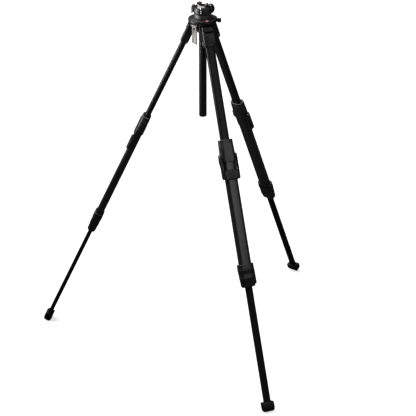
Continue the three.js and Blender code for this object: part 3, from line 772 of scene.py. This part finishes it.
def dome(name, radius, height, at, side=1):
    """A round-headed pin that points along y, or against it where side is -1."""
    wall = 0.35
    profile = [(0, 0.0), (radius, 0.0), (radius, height * wall)]
    for degrees in range(18, 90, 18):
        angle = radians(degrees)
        rise = wall + (1 - wall) * sin(angle)
        profile.append((radius * cos(angle), height * rise))
    profile.append((0, height))
    return moved(turned(name, profile, 32), at, "X", -90 * side)


def build_rivet(leg):
    span = leg.span("lever_rivet")
    lever = leg.span("upper_lever")
    pivot = leg.pivot("upper_lever_lift")
    end = span.high[1]
    rivet = rod("rivet", 2.5, span.low[1], end - 1, "y", (RIVET_OUT, 0, span.middle))
    fuse(rivet, dome("dome", 4.2, 1.4, (RIVET_OUT, end - 1.35, span.middle)))
    leg.hand_in(rivet, "lever_rivet", "upper_lever", "steel", "casting")
    cap = dome("cap", 4.4, 1.3, (pivot.x, lever.low[1] + 0.5, pivot.z), -1)
    leg.hand_in_detail(cap, "pivot_cap", "upper_lever", "steel", "steel")
    # The cheek screw is steel but is coloured in the pale coat: a painted glint.
    profile = [(0, -2), (2.4, -2), (2.4, 0.5), (2.0, 1.2), (1.1, 1.6), (0, 1.8)]
    screw = moved(turned("screw", profile, 28), (4, 27.6, span.middle), "Y", 90)
    leg.hand_in_detail(screw, "cheek_screw", "middle", "steel", "pale")


def build_lower_collar(leg):
    span = leg.span("lower_collar")
    middle = leg.span("middle_tube")
    lower = leg.span("lower_tube")
    guide = leg.span("tube_guide")
    lever = leg.span("side_lever")
    pivot = leg.pivot("side_lever_lift")
    low, high = span.bottom, span.top
    outline = span.oval(COLLAR_CORNER)
    shoulder = high - 23
    taper = 0.87
    stations = [
        (low, 4.4), (low + 1.2, 2.4), (low + 3.4, 0.8), (low + 7, 0.0),
        (shoulder - 32, 0.0), (shoulder - 30.8, -0.7), (shoulder - 28.8, -0.7),
        (shoulder - 27.6, 0.0),
        (shoulder - 2, 0.0), (shoulder - 0.8, -0.7), (shoulder + 1.4, -0.7),
        (shoulder + 2.6, 0.0),
        (high - 3.4, 0.0), (high - 1.6, 0.4), (high - 0.6, 1.4),
    ]
    drop = shoulder - low
    body = shell(
        "collar", outline, stations,
        lambda z: 1 - (1 - taper) * max(0.0, (shoulder - z) / drop),
    )
    half = lever.depth / 2 - 2.3
    carve(
        body,
        room_for(middle, 0.25, middle.bottom - 1, high + 5),
        room_for(guide, 0.25, guide.bottom - 0.3, middle.bottom + 1),
        room_for(lower, 0.3, low - 5, guide.bottom + 1),
        block("recess", (-half, 25.5, lever.bottom - 2), (half, 60, pivot.z + 4.5)),
        rod("axle_hole", 2.5, -10.8, 10.8, "x", (0, pivot.y, pivot.z), 24),
    )
    soften(body, 0.6)
    leg.hand_in(body, "lower_collar", "middle", "moulding", "casting")
    # The lower collar's mouth gets a grey ring: a painted highlight.
    build_highlight_lip(leg, "lower_lip", "neck", outline, high, Matrix())
    screw = dome("screw", 3.4, 1.1, (0, 0, 0))
    carve(screw, block("slot", (-4, 0.7, -0.45), (4, 3, 0.45)))
    moved(screw, (0, span.low[1] + 0.9, high - 10), "Z", 180)
    leg.hand_in_detail(screw, "collar_screw", "middle", "steel", "steel")


def build_side_lever(leg):
    span = leg.span("side_lever")
    pivot = leg.pivot("side_lever_lift")
    inner, outer = span.low[1], span.high[1]
    low = span.bottom
    side = [(inner, low), (outer - 2, low), (outer, low + 3), (outer, low + 14)]
    side += arc_points(pivot.y, pivot.z, 2.9, 0, 180, 14)
    flap = prism("flap", side, -7.9, 7.9, "x")
    for i in range(5):
        z = low + 4 + 2.6 * i
        carve(flap, block("rib", (-6, outer - 0.8, z), (6, outer + 4, z + 1.1)))
    soften(flap, 0.6)
    fuse(flap, rod("axle", 2.2, -10.5, 10.5, "x", (0, pivot.y, pivot.z), 24))
    leg.hand_in(flap, "side_lever", "side_lever", "moulding", "moulding")


def build_guide(leg):
    span = leg.span("tube_guide")
    lower = leg.span("lower_tube")
    low, high = span.bottom, span.top
    stations = ((low, 0.6), (low + 0.6, 0), (high - 0.6, 0), (high, 0.6))
    body = shell("guide", span.oval(), stations)
    carve(body, room_for(lower, 0.28, low - 5, high + 5))
    leg.hand_in(body, "tube_guide", "middle", "moulding", "rubber")


def build_foot(leg):
    span = leg.span("foot")
    tube = leg.span("lower_tube")
    low, high = span.bottom, span.top
    half = span.depth / 2
    face = span.width / 2
    sole = 20.0
    middle = low + sole
    side = [
        (half, high - 9), (half - 1.2, high - 5), (half - 4, high - 1.6), (half - 7, high),
        (-half + 1, high), (-half, high - 1),
    ]
    for degrees in range(0, 186, 6):
        angle = radians(degrees)
        side.append((-half + half * (1 - cos(angle)), middle - sole * sin(angle)))
    body = side_prism("foot", side, span.width + 4)
    front = section(span.width, 2 * span.length, 9, 12)
    front = [(y, z + low + span.length) for y, z in front]
    keep_inside(body, prism("front", front, -FAR, FAR, "x"))
    carve(body, room_for(tube, 0.3, tube.bottom - 0.4, high + 5))
    soften(body, 1.6, 4, 40)
    for i in range(4):
        z = high - 7 - 4.4 * i
        for start, end in ((-FAR, 1.3 - face), (face - 1.3, FAR)):
            carve(body, block("groove", (-half + 4, start, z - 0.7), (half - 4, end, z + 0.7)))
    leg.hand_in(body, "foot", "lower", "rubber", "rubber")


def build_leg(leg):
    build_casting(leg)
    build_hinge_bolt(leg)
    build_selector(leg)
    build_clamp_screw(leg)
    build_tube(leg, "upper_tube", "leg", 1.6)
    build_upper_collar(leg)
    build_upper_lever(leg)
    build_rivet(leg)
    build_tube(leg, "middle_tube", "middle", 2.0)
    build_lower_collar(leg)
    build_side_lever(leg)
    build_guide(leg)
    build_tube(leg, "lower_tube", "lower", 1.5)
    build_foot(leg)


# ---------- centre


def place_round(joint):
    """How far out a joint is, how high, both in millimetres, and its azimuth in radians."""
    place = AXIS_INVERSE @ Vector(JOINTS[joint]["pos_m"]) / MM
    return hypot(place.x, place.y), place.z, atan2(place.y, place.x)


def build_spider():
    span = Span("spider")
    ring = Span("cover_ring")
    bush = Span("column_bush")
    outer = 54.5
    low, top = span.bottom, span.top
    under = top - 12
    recess = ring.width / 2 + 0.3
    floor = ring.bottom - 0.3
    profile = [
        (0, under), (outer - 5, under), (outer - 1.6, under + 0.6), (outer - 0.3, under + 2.2),
        (outer, under + 4), (outer - 0.5, under + 4.5), (outer - 0.5, under + 5.3),
        (outer, under + 5.8), (outer, top - 1.6), (outer - 0.5, top - 0.5), (outer - 1.6, top),
        (recess, top), (recess, floor), (0, floor),
    ]
    body = turned("spider", profile, 128)
    fuse(body, turned("hub", [(0, low), (20.5, low), (22, low + 1.5), (22, under + 1)], 64))
    lug_radius = 13.5
    for leg in LEGS:
        reach, height, azimuth = place_round(f"{leg.name}_leg_spread")
        side = [(19, height - lug_radius), (reach, height - lug_radius)]
        side += arc_points(reach, height, lug_radius, -90, 90, 24)[1:]
        side += [(31, height + lug_radius), (29, under + 1), (19, under + 1)]
        lug = side_prism("lug", side, 20)
        carve(lug, rod("bore", HINGE_BORE, -FAR, FAR, "y", (reach, 0, height)))
        fuse(body, turned_about(lug, azimuth))
    reach, height, azimuth = place_round("column_lever_flip")
    for start, end in ((10.5, 13.5), (-13.5, -10.5)):
        ear = [(reach - 8, under + 1), (reach - 5, height - 1)]
        ear += arc_points(reach, height, 5, 190, 350, 14)
        ear += [(reach + 4, under + 1)]
        plate = cross_prism("ear", ear, start, end)
        carve(plate, rod("pin_hole", 2.2, start - 2, end + 2, "y", (reach, 0, height), 24))
        fuse(body, turned_about(plate, azimuth))
    reach, height, azimuth = place_round("lock_knob_turn")
    hole = rod("knob_hole", 3.3, 45, 62, "x", (0, 0, height), 24)
    bore = (bush.width / 2 - 21) + 17.8
    carve(body, rod("bore", bore, low - 5, top + 5, "z", (0, 0, 0), 96))
    carve(body, turned_about(hole, azimuth))
    soften(body, 0.7, 2, 34)
    hand_in(body, "spider", "spider", "casting")


def build_cover_ring():
    span = Span("cover_ring")
    level = Span("level_ring")
    outer = span.width / 2
    low, high = span.bottom, span.top
    groove = 0.7
    profile = [(15.4, low), (outer, low), (outer, high - 0.3), (outer - 0.3, high)]
    radius = outer - 1.6
    while radius > 36:
        profile += [
            (radius, high), (radius - 0.4, high - groove),
            (radius - 1.2, high - groove), (radius - 1.6, high),
        ]
        radius -= 3.0
    profile += [(15.8, high), (15.4, high - 0.4)]
    body = turned("cover", profile, 128, loop=True)
    at = ((level.low[0] + level.high[0]) / 2, (level.low[1] + level.high[1]) / 2, 0)
    carve(body, rod("pocket", level.width / 2 + 0.3, low - 3, high + 5, "z", at, 64))
    soften(body, 0.2, 2, 50)
    hand_in(body, "cover_ring", "spider", "disc")


def build_level():
    span = Span("level_ring")
    middle = ((span.low[0] + span.high[0]) / 2, (span.low[1] + span.high[1]) / 2, 0)
    low, high = span.bottom, span.top
    outer = span.width / 2
    mouth = 5.1
    glass = 4.85
    edge = 0.9
    profile = [(mouth, low), (outer, low), (outer, high - edge)]
    profile += arc_points(outer - edge, high - edge, edge, 15, 75, 4)
    profile += [(outer - edge, high), (mouth + 0.2, high), (mouth, high - 0.3)]
    ring = moved(turned("level_ring", profile, 64, loop=True), middle)
    hand_in(ring, "level_ring", "spider", "red")
    profile = [(0, low), (glass, low), (glass, high - 0.8)]
    for degrees in range(10, 90, 10):
        angle = radians(degrees)
        profile.append((glass * cos(angle), high - 0.8 + 1.3 * sin(angle)))
    profile.append((0, high + 0.5))
    vial = moved(turned("vial", profile, 48), middle)
    hand_in(vial, "level_vial", "spider", "vial")


def build_column():
    span = Span("centre_column")
    radius = span.width / 2
    wall = 2.2
    edge = 0.5
    low, high = span.bottom, span.top
    profile = [
        (radius, low + edge), (radius, high - edge), (radius - edge, high),
        (radius - wall, high), (radius - wall, low), (radius - edge, low),
    ]
    column = turned("column", profile, 96, loop=True)
    hand_in(column, "centre_column", "column", "column")

    span = Span("column_end_cap")
    under, top = span.bottom, span.top
    profile = [
        (0, under + 0.3), (6, under + 0.3), (6.6, under), (10.2, under + 0.4),
        (12.6, under + 1.3), (14.0, under + 2.7), (14.6, low - 0.3), (12.0, low - 0.3),
        (12.0, top), (0, top),
    ]
    hand_in(turned("end_cap", profile, 72), "column_end_cap", "column", "rubber")

    span = Span("column_bush")
    base, top = span.bottom, span.top
    hub = Span("spider").bottom - 0.3
    profile = [
        (14.9, base), (19.4, base), (20.6, base + 0.8), (21, base + 2),
        (21, hub), (17.5, hub), (17.5, top), (14.9, top),
    ]
    bush = turned("bush", profile, 72, loop=True)
    hand_in(bush, "column_bush", "spider", "moulding")


def build_knob():
    height, azimuth = place_round("lock_knob_turn")[1:]
    turn = Matrix.Rotation(azimuth, 4, "Z")
    matrix = AXIS_MATRIX @ (turn @ Matrix.Translation((0, 0, height * MM)))
    span = Span("lock_knob", matrix.inverted())
    end = span.high[0]
    start = end - 13.5
    radius = 9.0
    flutes = 12
    flute_depth = 0.7
    count = 144
    stations = [
        (0.0, 1.6), (0.5, 0.6), (1.6, 0.0), (4.2, 0.0), (5.0, 1.5), (7.4, 1.5), (8.2, 0.0),
        (12.2, 0.0), (13.1, 0.6), (13.5, 1.6),
    ]
    rings = []
    for along, inset in stations:
        ring = []
        for i in range(count):
            angle = 2 * pi * i / count
            wave = 1 + cos(flutes * angle) if inset < 0.5 else 1
            r = radius - inset - flute_depth + flute_depth / 2 * wave
            ring.append((start + along, r * cos(angle), r * sin(angle)))
        rings.append(ring)
    knob = skin("knob", rings)
    fuse(knob, rod("shaft", 3.0, span.low[0], start + 1, "x"))
    carve(knob, rod("dimple", 4.4, end - 0.8, end + 4, "x"))
    soften(knob, 0.25, 2, 50)
    hand_in(knob, "lock_knob", "lock_knob", "rubber", matrix)


def build_column_lever():
    out, height, azimuth = place_round("column_lever_flip")
    matrix = AXIS_MATRIX @ Matrix.Rotation(azimuth, 4, "Z")
    span = Span("column_lever", matrix.inverted())
    half = span.width / 2
    low = span.bottom
    eye = height - 11.5
    outline = [(-half, low + 4), (half, low), (half, height), (-half, height)]
    plate = prism("plate", outline, out - 2.5, out + 2.5, "x")
    fuse(plate, rod("barrel", 4.8, -half, half, "y", (out, 0, height)))
    soften(plate, 1.0, 3)
    inset = [
        (-half + 3, low + 7.6), (half - 3, low + 5.2),
        (half - 3, height - 20), (-half + 3, height - 20),
    ]
    carve(
        plate,
        rod("pin_hole", 2.2, -FAR, FAR, "y", (out, 0, height), 32),
        rod("eye", 3.9, out - 20, out + 20, "x", (0, 0, eye), 40),
        prism("panel", inset, out + 1.8, out + 6, "x"),
    )
    soften(plate, 0.3, 2, 50)
    hand_in(plate, "column_lever", "column_lever", "pale", matrix)
    eyelet = rod("eyelet", 3.8, -2.1, 2.1, "x", count=40)
    fuse(eyelet, rod("rim", 5.0, 2.0, 3.0, "x", count=40))
    carve(eyelet, rod("dimple", 2.4, 1.6, 5, "x", count=32))
    soften(eyelet, 0.3)
    moved(eyelet, (out, 0, eye))
    hand_in_detail(eyelet, "column_lever_eyelet", "column_lever", "rubber", matrix)
    span = Span("column_lever_pin", matrix.inverted())
    pin = rod("pin", 1.9, span.low[1], span.high[1], "y", (out, 0, height), 32)
    soften(pin, 0.4)
    hand_in(pin, "column_lever_pin", "spider", "steel", matrix)


# ---------- head


def build_neck():
    span = Span("head_neck", HEAD_INVERSE)
    low, high = span.bottom, span.top
    outer = span.width / 2
    groove = outer - 0.9
    socket = 14.9
    roof = Span("centre_column", HEAD_INVERSE).top + 0.3
    profile = [
        (socket, low), (outer - 2, low), (outer - 0.6, low + 0.6), (outer, low + 2),
        (outer, low + 8.5), (groove, low + 9), (groove, low + 10.2), (outer, low + 10.7),
        (outer, high - 1.2), (outer - 1.2, high), (0, high), (0, roof), (socket, roof),
    ]
    neck = turned("neck", profile, 96, loop=True)
    hand_in(neck, "head_neck", "column", "neck", HEAD_MATRIX)


def build_drum():
    span = Span("head_drum", HEAD_INVERSE)
    catch = Span("release_catch", HEAD_INVERSE)
    low = span.bottom
    high = span.top - COVER_HEIGHT
    outer = span.width / 2
    groove = outer - 0.5
    profile = [
        (0, low), (outer - 1, low), (outer, low + 1), (outer, high - 3.2),
        (groove, high - 2.9), (groove, high - 2.2), (outer - 0.2, high - 1.9),
        (outer - 1.9, high), (0, high),
    ]
    drum = turned("drum", profile, 128)
    seat = HEAD_INVERSE @ Vector(frame["record"]["mounts"][0]["pos_m"]) / MM
    outline = section(12, 14, 3)
    pad = [(x + seat.x, y + seat.y) for x, y in outline]
    pad_room = [(x * 1.05 + seat.x, y * 1.05 + seat.y) for x, y in outline]
    side = (catch.low[0] + catch.high[0]) / 2
    window = [(side + x, z + catch.middle) for x, z in section(11, 20, 3)]
    carve(drum, cross_prism("window", window, -60, -26))
    for degrees in range(205, 262, 14):
        angle = radians(degrees)
        at = (27 * cos(angle), 27 * sin(angle), 0)
        carve(drum, rod("dimple", 1.2, high - 1.2, high + 3, "z", at, 24))
    fuse(drum, prism("pad", pad, high - 1, seat.z))
    soften(drum, 0.5, 2, 34)
    hand_in(drum, "head_drum", "head", "head", HEAD_MATRIX)
    profile = [(0, high - 1), (29, high - 1), (29, high), (28.6, high + 0.2), (0, high + 0.2)]
    cover = turned("cover", profile, 96)
    carve(cover, prism("pad_room", pad_room, high - 5, high + 5))
    hand_in_detail(cover, "head_top_cover", "head", "rubber", HEAD_MATRIX)


def knurled(name, radius, low, high):
    """An upright barrel with a crossed pattern of small raised diamonds."""
    count = 72
    rows = 34
    depth = 0.45
    middle = (low + high) / 2
    half = (high - low) / 2
    rings = []
    for row in range(rows + 1):
        angle = pi * (0.03 + 0.94 * row / rows)
        wide = radius * sin(angle) ** 0.8
        z = middle - half * cos(angle)
        ring = []
        for i in range(count):
            turn = 2 * pi * i / count
            waves = cos(12 * turn + 9 * angle) * cos(12 * turn - 9 * angle)
            reach = wide - depth + depth * waves * sin(angle)
            ring.append((reach * cos(turn), reach * sin(turn), z))
        rings.append(ring)
    return skin(name, rings)


def band(outer, inner, start, end, steps):
    """The outline of part of a ring, between two angles in degrees."""
    outline = arc_points(0, 0, outer, start, end, steps)
    return outline + arc_points(0, 0, inner, start, end, steps)[::-1]


def build_grip():
    span = Span("grip_ring", HEAD_INVERSE)
    inner = 34.5
    body = prism("band", band(37.5, inner - 1, -15, 175, 96), 1366, 1384)
    for degrees, out, radius, bottom, top in LOBES:
        lobe = moved(knurled("lobe", radius, bottom, top), (out, 0, 0))
        fuse(body, turned_about(lobe, radians(degrees)))
    drum_top = Span("head_drum", HEAD_INVERSE).top - COVER_HEIGHT
    carve(
        body,
        rod("drum_room", inner, span.bottom - 5, drum_top + 0.6, "z", (0, 0, 0), 128),
        rod("jaw_room", 27, drum_top - 1, span.top + 5, "z", (0, 0, 0), 128),
    )
    hand_in(body, "grip_ring", "grip_ring", "grip", HEAD_MATRIX)
    for number, (place, size) in enumerate(GRIP_SCREWS, 1):
        profile = [(0, -3), (size, -3), (size, 0.7), (size * 0.7, 1.3), (0, 1.5)]
        screw = turned("screw", profile, 32)
        carve(screw, block("slot", (-5, -0.35, 0.7), (5, 0.35, 3)))
        lean = Matrix.Rotation(radians(35), 4, "X")
        matrix = HEAD_MATRIX @ (Matrix.Translation(Vector(place) * MM) @ lean)
        hand_in_detail(screw, f"grip_screw_{number}", "grip_ring", "steel", matrix)


def build_grip_highlight_plate():
    """A lighter plate round the outside of the left grip: a painted highlight where the left light falls on that
    flank.
    """
    degrees, out, radius = LOBES[2][:3]
    tab = prism("tab", band(radius + 0.9, radius - 0.6, -75, 75, 24), 1361.5, 1380)
    soften(tab, 0.4)
    turned_about(moved(tab, (out, 0, 0)), radians(degrees))
    hand_in_detail(tab, "grip_tab", "grip_ring", "neck", HEAD_MATRIX)


def keep_cad(node, material):
    """A CAD node whose shape is right keeps its mesh and gets a better material."""
    mesh = frame["nodes"][node].data
    mesh.materials.clear()
    mesh.materials.append(MATERIALS[material])


def build_head():
    build_neck()
    build_drum()
    build_grip()
    # The plate on the left grip's flank is a painted highlight.
    build_grip_highlight_plate()
    for node in ("fixed_jaw", "moving_jaw", "release_catch"):
        keep_cad(node, "silver")
    keep_cad("plate_stop", "neck")


# ---------- stage


def build_stage():
    reach = 9000
    corners = [(-reach, -reach, 0), (reach, -reach, 0), (reach, reach, 0), (-reach, reach, 0)]
    floor = mesh_object("floor", corners, [(0, 1, 2, 3)])
    shader = Shader("pale_floor", 0.0)
    cloud = shader.remap(shader.noise(0.8, 2.0), 0.0, 1.0)
    seen = shader.blend(cloud, (0.40, 0.40, 0.40), (0.41, 0.41, 0.41))
    path = shader.node("LightPath")
    shader.color(shader.blend(path.outputs["Is Camera Ray"], (0.10, 0.10, 0.10), seen))
    shader.bsdf.inputs["Roughness"].default_value = 0.9
    shader.bsdf.inputs["Emission Color"].default_value = FLOOR_GLOW
    shader.link(path.outputs["Is Camera Ray"], shader.bsdf.inputs["Emission Strength"])
    floor.data.materials.append(shader.material)


def build_world():
    """White behind the object, and a dimmer even light on it."""
    world = bpy.data.worlds.new("studio")
    world.use_nodes = True
    tree = world.node_tree
    fill = tree.nodes["Background"]
    fill.inputs["Color"].default_value = (1.0, 1.0, 1.0, 1.0)
    fill.inputs["Strength"].default_value = FILL_LIGHT
    backdrop = tree.nodes.new("ShaderNodeBackground")
    path = tree.nodes.new("ShaderNodeLightPath")
    mix = tree.nodes.new("ShaderNodeMixShader")
    tree.links.new(path.outputs["Is Camera Ray"], mix.inputs["Fac"])
    tree.links.new(fill.outputs["Background"], mix.inputs[1])
    tree.links.new(backdrop.outputs["Background"], mix.inputs[2])
    tree.links.new(mix.outputs["Shader"], tree.nodes["World Output"].inputs["Surface"])
    backdrop.inputs["Color"].default_value = (1.0, 1.0, 1.0, 1.0)
    bpy.context.scene.world = world
    bpy.context.scene.view_settings.view_transform = "Standard"
    bpy.context.scene.view_settings.look = "Medium High Contrast"


def add_light(name, kind, place, target):
    """A light placed in the camera's own frame: x to its right, y away from it, z up."""
    data = bpy.data.lights.new(name, kind)
    light = add_object(name, data)
    light.location = AXIS + CAMERA_FRAME @ Vector(place)
    aim = AXIS + CAMERA_FRAME @ Vector(target)
    light.rotation_euler = (light.location - aim).to_track_quat("Z", "Y").to_euler()
    return data


def soft_box(name, place, target, size, watts, spread=180):
    data = add_light(name, "AREA", place, target)
    data.spread = radians(spread)
    data.shape = "RECTANGLE"
    data.size = size[0]
    data.size_y = size[1]
    data.energy = watts


def build_lights():
    overhead = add_light("overhead", "SUN", (-1.5, 0.8, 3.0), (0.0, 0.0, 0.0))
    overhead.energy = 4.0
    overhead.angle = radians(60)
    soft_box("left_box", (-1.3, -0.1, 1.2), (0.0, 0.0, 1.34), (0.4, 0.6), 2.0, spread=50)
    soft_box("front_box", (2.15, -2.8, 2.35), (0.0, 0.0, 0.75), (0.4, 1.5), 30)


place_camera()
LEGS = [Leg(name) for name in ("front", "left", "right")]
for each in LEGS:
    build_leg(each)
build_spider()
build_cover_ring()
build_level()
build_column()
build_knob()
build_column_lever()
build_head()
build_stage()
build_world()
build_lights()
